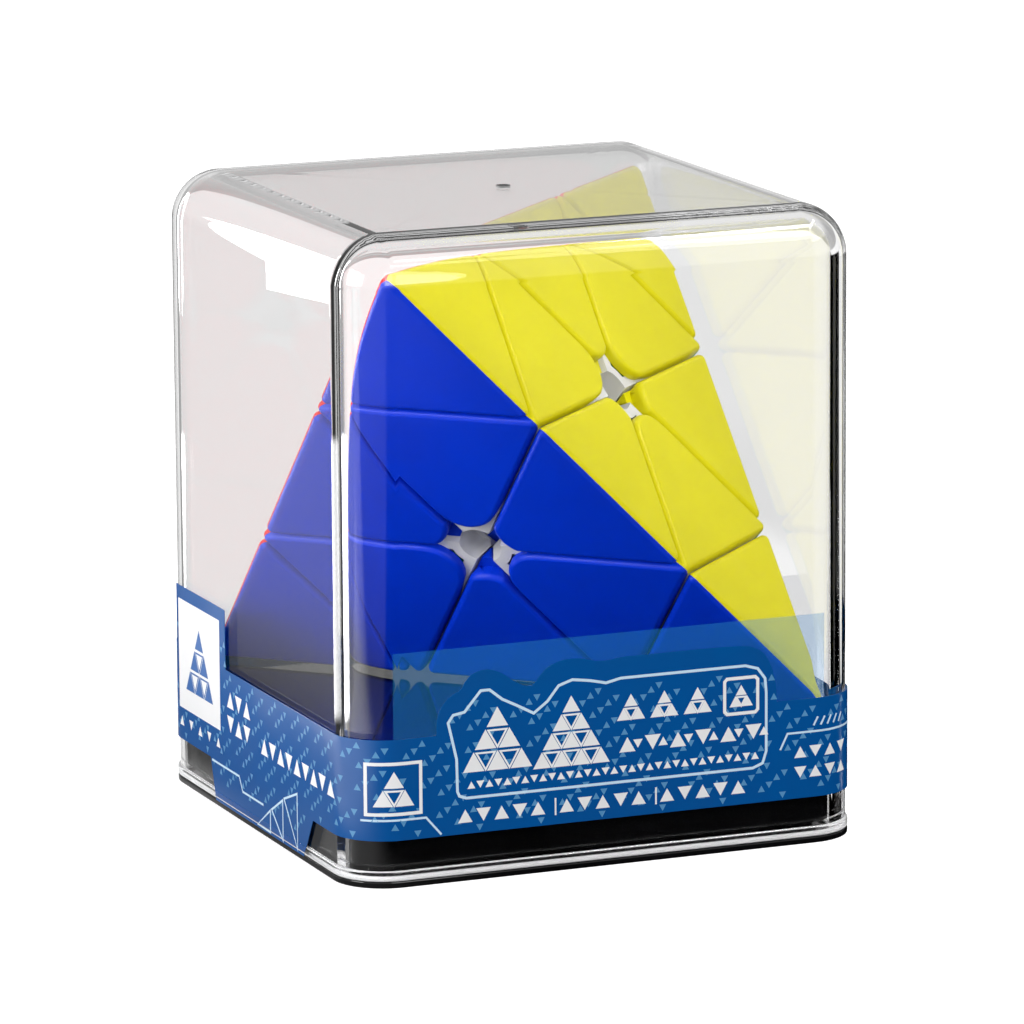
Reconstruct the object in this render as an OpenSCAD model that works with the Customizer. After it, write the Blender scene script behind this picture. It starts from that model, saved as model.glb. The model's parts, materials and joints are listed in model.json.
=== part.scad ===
// Pyramid twisty puzzle in its clear display case.
// Frame: millimetres, +Z up, origin at the centre of the underside of the case,
// X to the right, Y to the back. The puzzle stands on one of its six edges, so its
// four corners point at four alternate corners of the case.

/* [Puzzle] */
// Edge of the sharp-cornered tetrahedron that the puzzle is cut from
edge_length = 102; // [98:1:103]
// Clear gap between two neighbouring pieces
piece_gap = 0.3; // [0.2:0.05:0.4]
// How far each ridge is taken back from the sharp edge
ridge_cut = 0.8; // [0.5:0.1:1.2]
// How far each corner is taken back from the sharp corner
corner_cut = 2.8; // [2:0.2:4]
// Thickness of the coloured caps
cap_t = 1.6; // [1.2:0.1:2]
// Wall of the hollow edge pieces and carriers
shell_t = 1.6; // [1.2:0.1:2]
// Radius of the well at the middle of each face
well_r = 3.4; // [3:0.1:3.6]
// Depth of that well
well_t = 6; // [4:0.5:6.5]

/* [Mechanism] */
// Radius of the core ball
core_r = 11; // [10.5:0.1:11.2]
// Outer radius of the groove that the edge pieces' feet run in
foot_r = 14.6; // [14.2:0.1:15]
// Height above the centre at which the feet end, which is how far they hook under
foot_cut = 5; // [5:0.1:5.4]
// Radius of the tube at the middle of each carrier
hub_r = 6.4; // [6:0.1:6.5]
// Radius of the tube's bore, which holds the spring and the tip's peg
bore_r = 4.2; // [4:0.1:4.3]
// Radius of the screws' thread
screw_r = 1.5; // [1.3:0.1:1.5]
// Radius of the magnets
magnet_r = 2.5; // [2:0.1:2.5]
// Thickness of the magnets
magnet_t = 1.8; // [1.5:0.1:2]

/* [Case] */
// Outer width and depth of the clear cover
case_w = 82; // [82:0.5:84]
// Height of the closed case
case_h = 96.4; // [96:0.2:98]
// Outer radius of the cover's edges
case_r = 7.7; // [7:0.1:8]
// Wall of the cover
wall = 2.4; // [2:0.1:2.5]
// Thickness of the base's flange
flange_t = 1; // [0.8:0.1:1.2]
// Height of the base's top face
base_top = 18.9; // [18:0.1:18.9]
// Thickness of the printed sleeve
film_t = 0.25; // [0.2:0.05:0.3]
// Lower edge of the sleeve
band_low = 6.8; // [6:0.2:8]
// Upper edge of the sleeve on the sides and back
band_high = 22.2; // [20:0.2:24]
// Upper edge of the clear panel at the front of the sleeve
film_high = 35.1; // [33:0.2:37]

/* [Hidden] */
$fn = 64;
L = 220; // side of the blocks that stand for half-spaces

// Corners of the puzzle: 0 upper front, 1 upper back, 2 lower left, 3 lower right.
// Face f lies opposite corner f: 0 green, 1 blue, 2 yellow, 3 red.
AX = [[-1, -1, 1], [1, 1, 1], [-1, 1, -1], [1, -1, -1]] / sqrt(3);
COLOURS = ["#00a34a", "#0330c8", "#f2e500", "#e0161b"];
white_plastic = "#d9d9dc";
steel = "#b9bcc2";

half_side = edge_length / (2 * sqrt(2)); // of the cube that the tetrahedron is inscribed in
inr = half_side / sqrt(3);               // centre to a face
corner_d = 3 * inr;                      // centre to a sharp corner
layer_d = inr / 3;                       // centre to a layer's cut
tip_d = inr * 5 / 3;                     // centre to a tip's cut
g = piece_gap / 2;
magnet_rho = 24;                         // magnets' distance from the layer's axis
magnet_skin = 0.7;                       // plastic left between a magnet and the cut
floor_d = 16;                            // floor of a carrier's bore
head_d = 22;                             // underside of a screw's head
peg_end = 26.5;                          // inner end of a tip's peg
puzzle_at = [1.8, -0.7, half_side + base_top];
base_clear = 0.25;                       // base to cover, all round
w2 = case_w / 2;

function unit(v) = v / norm(v);
function others(i) = [for (k = [0:3]) if (k != i) k];
function others2(i, j) = [for (k = [0:3]) if (k != i && k != j) k];
function edge_dir(i, j) = unit(AX[i] + AX[j]);
// Direction in the plane of cut i that points at corner j
function along_cut(i, j) = unit(AX[j] + AX[i] / 3);

// Turns +Z to point along v
module aim(v) { rotate([0, acos(v.z / norm(v)), atan2(v.y, v.x)]) children(); }
// Everything on the near side, and on the far side, of the plane at distance d along v
module below(v, d) { aim(v) translate([-L / 2, -L / 2, d - L]) cube(L); }
module above(v, d) { aim(v) translate([-L / 2, -L / 2, d]) cube(L); }
// A cylinder along v, from distance d1 to d2
module rod(v, d1, d2, r) { aim(v) translate([0, 0, d1]) cylinder(r = r, h = d2 - d1); }
module at_puzzle() { translate(puzzle_at) children(); }

// The well at the middle of face f, down to distance d from the centre
module well(f, d) { rod(-AX[f], d, inr + 5, well_r); }

// A magnet between corner piece j and edge piece i-j: side is 1 in the edge piece, -1 in the corner piece
module magnet_at(i, j, side, grow = 0, tall = 0) {
  low = side > 0 ? layer_d + g + magnet_skin : layer_d - g - magnet_skin - magnet_t;
  translate(along_cut(i, j) * magnet_rho)
    rod(AX[i], low - (side < 0 ? tall : 0), low + magnet_t + (side > 0 ? tall : 0), magnet_r + grow);
}

// ---- Tips: three caps on a carrier whose peg snaps into the corner piece ----

module cap_slab(i, f) {
  below(-AX[f], inr);
  above(-AX[f], inr - cap_t);
  for (h = others2(i, f)) above(AX[h] - AX[f], 0);
  for (h = others2(i, f)) below(edge_dir(i, h), half_side - ridge_cut);
}

module tip_cap(i, f) {
  at_puzzle() color(COLOURS[f]) intersection() {
    below(-AX[f], inr);
    above(-AX[f], inr - cap_t);
    above(AX[others2(i, f)[0]] - AX[f], 0);
    above(AX[others2(i, f)[1]] - AX[f], 0);
    below(edge_dir(i, others2(i, f)[0]), half_side - ridge_cut);
    below(edge_dir(i, others2(i, f)[1]), half_side - ridge_cut);
    above(AX[i], tip_d + g);
    below(AX[i], corner_d - corner_cut);
  }
}

module tip_carrier(i) {
  o = others(i);
  at_puzzle() color(white_plastic) difference() {
    union() {
      intersection() {
        above(AX[i], tip_d + g);
        below(AX[i], tip_d + g + 2.2);
        below(-AX[o[0]], inr - cap_t);
        below(-AX[o[1]], inr - cap_t);
        below(-AX[o[2]], inr - cap_t);
      }
      // Post that the caps' walls stand round
      rod(AX[i], tip_d + g + 1, tip_d + g + 9, 3.6);
      // Peg with its snap bead
      aim(AX[i]) rotate_extrude() polygon([
        [0, peg_end], [bore_r - 0.5, peg_end], [bore_r + 0.28, peg_end + 1], [bore_r + 0.28, peg_end + 1.5],
        [bore_r - 0.08, peg_end + 2.2], [bore_r - 0.08, tip_d + g + 0.5], [0, tip_d + g + 0.5]]);
    }
    rod(AX[i], peg_end - 1, tip_d + g + 7.5, 2.6);
    // Slits that let the peg spring
    aim(AX[i]) translate([-6, -0.6, peg_end - 1]) cube([12, 1.2, 7]);
    aim(AX[i]) translate([-0.6, -6, peg_end - 1]) cube([1.2, 12, 7]);
  }
}

// ---- Corner pieces: three caps on a carrier that turns on its screw ----

module axial_cap(i, f) {
  o = others2(i, f);
  at_puzzle() color(COLOURS[f]) difference() {
    intersection() {
      below(-AX[f], inr);
      above(-AX[f], inr - cap_t);
      above(AX[o[0]] - AX[f], 0);
      above(AX[o[1]] - AX[f], 0);
      below(edge_dir(i, o[0]), half_side - ridge_cut);
      below(edge_dir(i, o[1]), half_side - ridge_cut);
      above(AX[i], layer_d + g);
      below(AX[i], tip_d - g);
      below(AX[o[0]], layer_d - g);
      below(AX[o[1]], layer_d - g);
    }
    well(f, inr - well_t);
  }
}

module axial_block(i, inset, open) {
  o = others(i);
  far = open ? inr + 10 : inr - cap_t;
  intersection() {
    above(AX[i], layer_d + g + inset);
    below(AX[i], tip_d - g - inset);
    below(AX[o[0]], layer_d - g - inset);
    below(AX[o[1]], layer_d - g - inset);
    below(AX[o[2]], layer_d - g - inset);
    below(-AX[o[0]], far);
    below(-AX[o[1]], far);
    below(-AX[o[2]], far);
  }
}

module axial_carrier(i) {
  o = others(i);
  at_puzzle() color(white_plastic) difference() {
    union() {
      difference() {
        axial_block(i, 0, false);
        sphere(r = foot_r + g);
        difference() {
          axial_block(i, shell_t, true);
          sphere(r = foot_r + g + shell_t);
          rod(AX[i], 0, tip_d + 2, hub_r);
          for (f = o) rod(-AX[f], 0, inr + 2, well_r + shell_t);
          for (k = o) magnet_at(k, i, -1, 0.9, 0.6);
        }
        for (f = o) well(f, inr - well_t);
        for (k = o) magnet_at(k, i, -1);
      }
      rod(AX[i], core_r - 1, tip_d - g, hub_r);
    }
    sphere(r = core_r + g);
    // Bore for the screw, then for the spring, the screw's head and the tip's peg
    rod(AX[i], core_r - 3, floor_d + 1, screw_r + 0.08);
    rod(AX[i], floor_d, tip_d + 2, bore_r);
    aim(AX[i]) rotate_extrude() polygon([
      [0, peg_end - 0.2], [bore_r, peg_end - 0.2], [bore_r + 0.4, peg_end + 0.8],
      [bore_r + 0.4, peg_end + 1.7], [bore_r, peg_end + 2.5], [0, peg_end + 2.5]]);
  }
}

// ---- Edge pieces: two coloured half-shells, each with half of the foot ----

module edge_shell(i, j, f) {
  h = others2(i, j)[0] == f ? others2(i, j)[1] : others2(i, j)[0];
  mid = AX[h] - AX[f];
  at_puzzle() color(COLOURS[f]) difference() {
    union() {
      difference() {
        intersection() {
          below(-AX[f], inr);
          below(edge_dir(i, j), half_side - ridge_cut);
          above(AX[i], layer_d + g);
          above(AX[j], layer_d + g);
          above(mid, 0);
        }
        sphere(r = core_r + g);
        // Hollow, open at the joint between the two half-shells
        difference() {
          intersection() {
            below(-AX[f], inr - shell_t);
            below(edge_dir(i, j), half_side - ridge_cut - shell_t);
            above(AX[i], layer_d + g + shell_t);
            above(AX[j], layer_d + g + shell_t);
            above(mid, -1);
          }
          sphere(r = foot_r + 2.4);
          rod(-AX[f], 0, inr + 2, well_r + shell_t);
          magnet_at(i, j, 1, 0.9, 0.6);
          magnet_at(j, i, 1, 0.9, 0.6);
        }
        well(f, inr - well_t);
        magnet_at(i, j, 1);
        magnet_at(j, i, 1);
      }
      // Foot, which hooks under the two neighbouring corner pieces
      intersection() {
        difference() {
          sphere(r = foot_r);
          sphere(r = core_r + g);
        }
        above(AX[i], foot_cut + g);
        above(AX[j], foot_cut + g);
        above(mid, 0);
      }
    }
  }
}

// ---- Core, screws, springs and magnets ----

module core_ball() {
  at_puzzle() color(white_plastic) difference() {
    sphere(r = core_r);
    for (v = AX) rod(v, 3, core_r + 1, screw_r);
  }
}

module tension_screws() {
  at_puzzle() color(steel) for (v = AX) difference() {
    union() {
      rod(v, 3.5, head_d + 0.2, screw_r);
      aim(v) rotate_extrude() polygon([
        [0, head_d], [3.3, head_d], [3.3, head_d + 1.2], [2.6, head_d + 2], [0, head_d + 2.2]]);
    }
    aim(v) translate([-2, -0.3, head_d + 1.1]) cube([4, 0.6, 2]);
    aim(v) translate([-0.3, -2, head_d + 1.1]) cube([0.6, 4, 2]);
  }
}

module spring_washers() {
  at_puzzle() color(steel) for (v = AX) difference() {
    rod(v, floor_d + 0.05, floor_d + 0.65, 3.8);
    rod(v, floor_d - 1, floor_d + 2, screw_r + 0.1);
  }
}

spring_wire = 0.35;
spring_mean = 2.65;
spring_low = floor_d + 0.65 + spring_wire;
spring_high = head_d - spring_wire;
spring_turns = 4.5;
spring_steps = 72;
spring_sides = 8;
function coil(t) = [spring_mean * cos(360 * spring_turns * t), spring_mean * sin(360 * spring_turns * t),
  spring_low + (spring_high - spring_low) * t];
module spring() {
  ring = [for (k = [0:spring_steps]) let (t = k / spring_steps, c = coil(t), a = 360 * spring_turns * t)
    for (m = [0:spring_sides - 1]) let (b = 360 * m / spring_sides)
      c + spring_wire * [cos(a) * cos(b), sin(a) * cos(b), sin(b)]];
  n = spring_sides;
  faces = concat(
    [for (k = [0:spring_steps - 1], m = [0:n - 1]) let (p = k * n + m, q = k * n + (m + 1) % n) [p, p + n, q + n, q]],
    [[for (m = [0:n - 1]) m], [for (m = [0:n - 1]) spring_steps * n + n - 1 - m]]);
  polyhedron(points = ring, faces = faces, convexity = 8);
}

module tension_springs() { at_puzzle() color(steel) for (v = AX) aim(v) spring(); }

// Magnets of the turning layer: those of corner 0 and of the edge pieces that meet it
module layer_magnets() {
  at_puzzle() color(steel) {
    for (k = [1:3]) magnet_at(k, 0, -1);
    for (k = [1:3]) magnet_at(0, k, 1);
    for (k = [1:3]) magnet_at(k, 0, 1);
  }
}

module puzzle_magnets() {
  at_puzzle() color(steel) {
    for (j = [1:3], i = [0:3]) if (i != j) magnet_at(i, j, -1);
    for (i = [1:3], j = [1:3]) if (i != j) magnet_at(i, j, 1);
  }
}

// ---- Display case ----

module rounded_square(half, r) {
  square([2 * half, 2 * (half - r)], center = true);
  square([2 * (half - r), 2 * half], center = true);
  for (x = [-1, 1], y = [-1, 1]) translate([x, y] * (half - r)) circle(r = r);
}

module dome(half, r, low, high) {
  hull() for (x = [-1, 1], y = [-1, 1]) translate([x * (half - r), y * (half - r), 0]) {
    translate([0, 0, low]) cylinder(r = r, h = 1, $fn = 40);
    translate([0, 0, high - r]) sphere(r = r, $fn = 40);
  }
}

module clear_cover() {
  color([0.9, 0.92, 0.93, 0.3]) difference() {
    union() {
      dome(w2, case_r, flange_t, case_h);
      // Bead round the rim
      dome_bead();
    }
    dome(w2 - wall, case_r - wall, flange_t - 1, case_h - wall);
    // Vent in the middle of the top
    translate([0, 0, case_h - wall - 1]) cylinder(r = 1, h = wall + 2);
  }
}

module dome_bead() {
  translate([0, 0, flange_t]) linear_extrude(1.6) rounded_square(w2 + 0.4, case_r + 0.4);
}

module display_base() {
  in = w2 - wall - base_clear;
  rin = case_r - wall - base_clear;
  color("#101012") difference() {
    union() {
      linear_extrude(flange_t) rounded_square(w2 + 0.4, case_r + 0.4);
      // Foot of the plinth, set back to clear the rim's bead
      linear_extrude(3) rounded_square(in - 2.5, rin - 2.5);
      translate([0, 0, 2.6]) linear_extrude(base_top - 2.6) rounded_square(in, rin);
      // Saddle under the puzzle's lowest ridge
      translate([puzzle_at.x, puzzle_at.y, base_top - 0.5]) rotate([0, 0, -45])
        translate([-4, -1.6, 0]) cube([8, 3.2, 0.5 + ridge_cut - 0.15]);
    }
    // Open underside
    translate([0, 0, -1]) linear_extrude(base_top - 1.8 + 1) rounded_square(in - 4.3, 1.2);
  }
}

module film_ring(low, high) {
  translate([0, 0, low]) linear_extrude(high - low) difference() {
    rounded_square(w2 + 0.05 + film_t, case_r + 0.05 + film_t);
    rounded_square(w2 + 0.05, case_r + 0.05);
  }
}

module printed_sleeve() {
  flat = w2 - case_r;
  color("#0b5cad") {
    film_ring(band_low, band_high);
    // Clear panel at the front
    translate([-flat, -w2 - 0.05 - film_t, band_high - 1]) cube([2 * flat, film_t, film_high - band_high + 1]);
    // Tab in the middle of the left side, down to the rim's bead
    translate([-w2 - 0.05, 0, 0]) rotate([90, 0, -90]) linear_extrude(film_t)
      polygon([[-19.4, 2.7], [19.4, 2.7], [22.4, band_low + 1], [-22.4, band_low + 1]]);
    // Panel at the back of the left side
    translate([-w2 - 0.05 - film_t, flat - 17.5, band_high - 1]) cube([film_t, 17.5, 9.6]);
  }
}

tip_carrier(0);  // tip_upper_front_carrier
tip_cap(0, 1);  // tip_upper_front_blue
tip_cap(0, 2);  // tip_upper_front_yellow
tip_cap(0, 3);  // tip_upper_front_red
tip_carrier(1);  // tip_upper_back_carrier
tip_cap(1, 2);  // tip_upper_back_yellow
tip_cap(1, 3);  // tip_upper_back_red
tip_cap(1, 0);  // tip_upper_back_green
tip_carrier(2);  // tip_lower_left_carrier
tip_cap(2, 1);  // tip_lower_left_blue
tip_cap(2, 3);  // tip_lower_left_red
tip_cap(2, 0);  // tip_lower_left_green
tip_carrier(3);  // tip_lower_right_carrier
tip_cap(3, 1);  // tip_lower_right_blue
tip_cap(3, 2);  // tip_lower_right_yellow
tip_cap(3, 0);  // tip_lower_right_green
axial_carrier(0);  // axial_upper_front_carrier
axial_cap(0, 1);  // axial_upper_front_blue
axial_cap(0, 2);  // axial_upper_front_yellow
axial_cap(0, 3);  // axial_upper_front_red
axial_carrier(1);  // axial_upper_back_carrier
axial_cap(1, 2);  // axial_upper_back_yellow
axial_cap(1, 3);  // axial_upper_back_red
axial_cap(1, 0);  // axial_upper_back_green
axial_carrier(2);  // axial_lower_left_carrier
axial_cap(2, 1);  // axial_lower_left_blue
axial_cap(2, 3);  // axial_lower_left_red
axial_cap(2, 0);  // axial_lower_left_green
axial_carrier(3);  // axial_lower_right_carrier
axial_cap(3, 1);  // axial_lower_right_blue
axial_cap(3, 2);  // axial_lower_right_yellow
axial_cap(3, 0);  // axial_lower_right_green
edge_shell(0, 3, 1);  // edge_blue_yellow_blue_shell
edge_shell(0, 3, 2);  // edge_blue_yellow_yellow_shell
edge_shell(0, 2, 1);  // edge_blue_red_blue_shell
edge_shell(0, 2, 3);  // edge_blue_red_red_shell
edge_shell(0, 1, 3);  // edge_red_yellow_red_shell
edge_shell(0, 1, 2);  // edge_red_yellow_yellow_shell
edge_shell(2, 3, 1);  // edge_blue_green_blue_shell
edge_shell(2, 3, 0);  // edge_blue_green_green_shell
edge_shell(1, 3, 2);  // edge_yellow_green_yellow_shell
edge_shell(1, 3, 0);  // edge_yellow_green_green_shell
edge_shell(1, 2, 3);  // edge_red_green_red_shell
edge_shell(1, 2, 0);  // edge_red_green_green_shell
core_ball();
tension_screws();
tension_springs();
spring_washers();
layer_magnets();
puzzle_magnets();
clear_cover();
display_base();
printed_sleeve();
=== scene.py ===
import bpy, bmesh, json, math, random
from mathutils import Vector, Matrix

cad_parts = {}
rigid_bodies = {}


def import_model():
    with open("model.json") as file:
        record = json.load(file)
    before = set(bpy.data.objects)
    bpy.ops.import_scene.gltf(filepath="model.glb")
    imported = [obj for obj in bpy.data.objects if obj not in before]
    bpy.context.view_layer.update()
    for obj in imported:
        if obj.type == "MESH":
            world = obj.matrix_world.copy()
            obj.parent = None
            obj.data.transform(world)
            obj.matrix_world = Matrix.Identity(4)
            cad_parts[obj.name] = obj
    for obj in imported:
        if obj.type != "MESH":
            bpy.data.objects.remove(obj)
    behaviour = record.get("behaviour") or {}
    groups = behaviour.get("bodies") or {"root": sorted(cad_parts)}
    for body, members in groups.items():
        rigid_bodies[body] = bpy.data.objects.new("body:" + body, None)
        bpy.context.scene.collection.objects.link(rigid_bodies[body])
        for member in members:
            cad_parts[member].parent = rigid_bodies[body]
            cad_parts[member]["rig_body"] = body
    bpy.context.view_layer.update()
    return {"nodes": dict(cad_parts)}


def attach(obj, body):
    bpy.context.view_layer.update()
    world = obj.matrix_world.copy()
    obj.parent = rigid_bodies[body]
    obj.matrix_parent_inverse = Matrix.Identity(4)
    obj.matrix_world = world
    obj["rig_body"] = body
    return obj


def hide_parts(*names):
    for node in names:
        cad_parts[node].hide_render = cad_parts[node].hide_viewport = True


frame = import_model()
S = bpy.context.scene
NODES = frame["nodes"]

# ---------------------------------------------------------------- design sizes, mm
EDGE = 102.0
HALF = EDGE / (2 * math.sqrt(2))
INR = HALF / math.sqrt(3)
CORNER = 3 * INR
LAYER = INR / 3
TIP = INR * 5 / 3
G = 0.15
RND = 1.0            # rounding of every visible edge of the puzzle
STAR = 5.2           # rounding of the corners round each face's middle
CAP_T = 1.6
EDGE_T = 2.3
BASE_TOP = 18.9
CEN = Vector((1.8, -0.7, HALF + BASE_TOP))
W2, CASE_H, CASE_R, WALL = 41.0, 96.376, 7.7, 2.4
MM = 0.001

AX = [Vector(v) / math.sqrt(3) for v in ((-1, -1, 1), (1, 1, 1), (-1, 1, -1), (1, -1, -1))]
FACE_COL = ("green", "blue", "yellow", "red")
PLACE = ("upper_front", "upper_back", "lower_left", "lower_right")


# ---------------------------------------------------------------- materials
def new_mat(name):
    m = bpy.data.materials.new(name)
    m.use_nodes = True
    nt = m.node_tree
    b = nt.nodes["Principled BSDF"]
    return m, nt, b


def noise(nt, scale, detail=3.0, rough=0.55, coord="Object"):
    tc = nt.nodes.new("ShaderNodeTexCoord")
    n = nt.nodes.new("ShaderNodeTexNoise")
    n.inputs["Scale"].default_value = scale
    n.inputs["Detail"].default_value = detail
    n.inputs["Roughness"].default_value = rough
    nt.links.new(tc.outputs[coord], n.inputs["Vector"])
    return n


def ramp(nt, src, lo, hi, p0=0.3, p1=0.7):
    r = nt.nodes.new("ShaderNodeMapRange")
    r.inputs["From Min"].default_value = p0
    r.inputs["From Max"].default_value = p1
    r.inputs["To Min"].default_value = lo
    r.inputs["To Max"].default_value = hi
    nt.links.new(src, r.inputs["Value"])
    return r.outputs["Result"]


def colour_vary(nt, fac, a, b):
    mx = nt.nodes.new("ShaderNodeMix")
    mx.data_type = "RGBA"
    mx.inputs["A"].default_value = (*a, 1)
    mx.inputs["B"].default_value = (*b, 1)
    nt.links.new(fac, mx.inputs["Factor"])
    return mx.outputs["Result"]


def bump(nt, bsdf, src, strength, distance):
    bp = nt.nodes.new("ShaderNodeBump")
    bp.inputs["Strength"].default_value = strength
    bp.inputs["Distance"].default_value = distance
    nt.links.new(src, bp.inputs["Height"])
    nt.links.new(bp.outputs["Normal"], bsdf.inputs["Normal"])
    return bp


def plastic(name, col, col2, rough=(0.3, 0.4), grain=4200.0, flow=60.0, bump_s=0.10, spec=0.22):
    """Moulded plastic: slight flow marks in the colour, fine spark-eroded grain, uneven gloss."""
    m, nt, b = new_mat(name)
    flow_n = noise(nt, flow, 4.0, 0.6)
    nt.links.new(colour_vary(nt, ramp(nt, flow_n.outputs["Fac"], 0, 1), col, col2), b.inputs["Base Color"])
    gl = noise(nt, flow * 4, 5.0, 0.6)
    nt.links.new(ramp(nt, gl.outputs["Fac"], rough[0], rough[1]), b.inputs["Roughness"])
    gr = noise(nt, grain, 2.0, 0.5)
    bump(nt, b, gr.outputs["Fac"], bump_s, 0.00002)
    b.inputs["Specular IOR Level"].default_value = spec
    return m


MAT = {
    "blue": plastic("abs_blue", (0.0, 0.036, 0.64), (0.0, 0.031, 0.58)),
    "yellow": plastic("abs_yellow", (0.70, 0.64, 0.003), (0.66, 0.60, 0.003)),
    "red": plastic("abs_red", (0.80, 0.006, 0.012), (0.72, 0.004, 0.010)),
    "green": plastic("abs_green", (0.0, 0.36, 0.09), (0.0, 0.31, 0.075)),
    "white": plastic("abs_white", (0.70, 0.70, 0.71), (0.64, 0.64, 0.66), rough=(0.4, 0.5), bump_s=0.15),
}


def metal(name, col, rough, scale=900.0, stretch=(1, 1, 1)):
    m, nt, b = new_mat(name)
    tc = nt.nodes.new("ShaderNodeTexCoord")
    mp = nt.nodes.new("ShaderNodeMapping")
    mp.inputs["Scale"].default_value = stretch
    n = nt.nodes.new("ShaderNodeTexNoise")
    n.inputs["Scale"].default_value = scale
    n.inputs["Detail"].default_value = 4
    nt.links.new(tc.outputs["Object"], mp.inputs["Vector"])
    nt.links.new(mp.outputs["Vector"], n.inputs["Vector"])
    b.inputs["Metallic"].default_value = 1.0
    nt.links.new(ramp(nt, n.outputs["Fac"], rough[0], rough[1]), b.inputs["Roughness"])
    nt.links.new(colour_vary(nt, ramp(nt, n.outputs["Fac"], 0, 1), col, tuple(c * 0.86 for c in col)), b.inputs["Base Color"])
    return m


MAT["screw"] = metal("zinc_steel", (0.62, 0.62, 0.64), (0.22, 0.36), 1500)
MAT["spring"] = metal("spring_wire", (0.66, 0.66, 0.68), (0.18, 0.30), 2600, (1, 1, 6))
MAT["magnet"] = metal("nickel", (0.74, 0.71, 0.66), (0.12, 0.22), 700)


def gloss_black():
    m, nt, b = new_mat("gloss_black")
    n = noise(nt, 55, 6.0, 0.6)
    nt.links.new(colour_vary(nt, ramp(nt, n.outputs["Fac"], 0, 1), (0.0012, 0.0012, 0.0014), (0.004, 0.004, 0.0045)), b.inputs["Base Color"])
    sm = noise(nt, 210, 6.0, 0.65)
    nt.links.new(ramp(nt, sm.outputs["Fac"], 0.03, 0.09, 0.35, 0.75), b.inputs["Roughness"])
    dust = noise(nt, 1400, 2.0, 0.5)
    bump(nt, b, dust.outputs["Fac"], 0.02, 0.00002)
    b.inputs["IOR"].default_value = 1.5
    return m


MAT["black"] = gloss_black()


def clear_plastic(name, tint=(1.0, 1.0, 1.0), rough=0.0):
    """Polished clear styrene: bends and mirrors light, and lets lamps through; a painted highlight lines its bottom
    edge.
    """
    m, nt, b = new_mat(name)
    n = noise(nt, 26, 2.0, 0.4)
    nt.links.new(colour_vary(nt, ramp(nt, n.outputs["Fac"], 0, 1), tint, tuple(c * 0.992 for c in tint)), b.inputs["Base Color"])
    b.inputs["Roughness"].default_value = rough
    b.inputs["IOR"].default_value = 1.49
    b.inputs["Transmission Weight"].default_value = 1.0
    wv = noise(nt, 34, 1.5, 0.4)
    bump(nt, b, wv.outputs["Fac"], 0.012, 0.0004)
    lp = nt.nodes.new("ShaderNodeLightPath")
    tr = nt.nodes.new("ShaderNodeBsdfTransparent")
    tr.inputs["Color"].default_value = (0.93, 0.93, 0.93, 1)
    mix = nt.nodes.new("ShaderNodeMixShader")
    nt.links.new(lp.outputs["Is Shadow Ray"], mix.inputs["Fac"])
    nt.links.new(b.outputs["BSDF"], mix.inputs[1])
    nt.links.new(tr.outputs["BSDF"], mix.inputs[2])
    # painted highlight: a pale diffuse band on the bottom edge, below about 1.5 mm, stands in for the light that edge
    # catches
    co = nt.nodes.new("ShaderNodeTexCoord")
    sx = nt.nodes.new("ShaderNodeSeparateXYZ")
    nt.links.new(co.outputs["Object"], sx.inputs[0])
    edge = nt.nodes.new("ShaderNodeMapRange")
    edge.inputs["From Min"].default_value = 0.00136
    edge.inputs["From Max"].default_value = 0.00150
    edge.inputs["To Min"].default_value = 0.85
    edge.inputs["To Max"].default_value = 0.0
    nt.links.new(sx.outputs["Z"], edge.inputs["Value"])
    painted_rim_highlight = nt.nodes.new("ShaderNodeBsdfDiffuse")
    painted_rim_highlight.inputs["Color"].default_value = (0.92, 0.92, 0.93, 1)
    rim = nt.nodes.new("ShaderNodeMixShader")
    nt.links.new(edge.outputs["Result"], rim.inputs["Fac"])
    nt.links.new(mix.outputs["Shader"], rim.inputs[1])
    nt.links.new(painted_rim_highlight.outputs["BSDF"], rim.inputs[2])
    nt.links.new(rim.outputs["Shader"], nt.nodes["Material Output"].inputs["Surface"])
    return m


MAT["clear"] = clear_plastic("clear_styrene")


def print_mat(name, col, col2, rough=(0.16, 0.26)):
    m, nt, b = new_mat(name)
    n = noise(nt, 90, 3.0, 0.6)
    nt.links.new(colour_vary(nt, ramp(nt, n.outputs["Fac"], 0, 1), col, col2), b.inputs["Base Color"])
    dots = noise(nt, 5200, 1.0, 0.5)
    nt.links.new(ramp(nt, n.outputs["Fac"], rough[0], rough[1]), b.inputs["Roughness"])
    bump(nt, b, dots.outputs["Fac"], 0.05, 0.00001)
    return m


MAT["print_blue"] = print_mat("print_blue", (0.001, 0.088, 0.33), (0.001, 0.078, 0.30))
MAT["print_white"] = print_mat("print_white", (0.90, 0.90, 0.91), (0.87, 0.87, 0.88), (0.3, 0.4))
MAT["print_line"] = print_mat("print_line", (0.62, 0.80, 0.95), (0.58, 0.77, 0.93), (0.25, 0.35))
MAT["print_pale"] = print_mat("print_pale", (0.10, 0.30, 0.56), (0.09, 0.28, 0.52), (0.2, 0.3))
MAT["print_over"] = print_mat("print_over", (0.002, 0.10, 0.36), (0.002, 0.09, 0.33), (0.3, 0.4))
# near-black colour for the vent plug: painted shade of the hole in the cover's top
MAT["mark"] = print_mat("painted_vent_shade", (0.002, 0.002, 0.002), (0.006, 0.006, 0.006), (0.3, 0.5))


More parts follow.
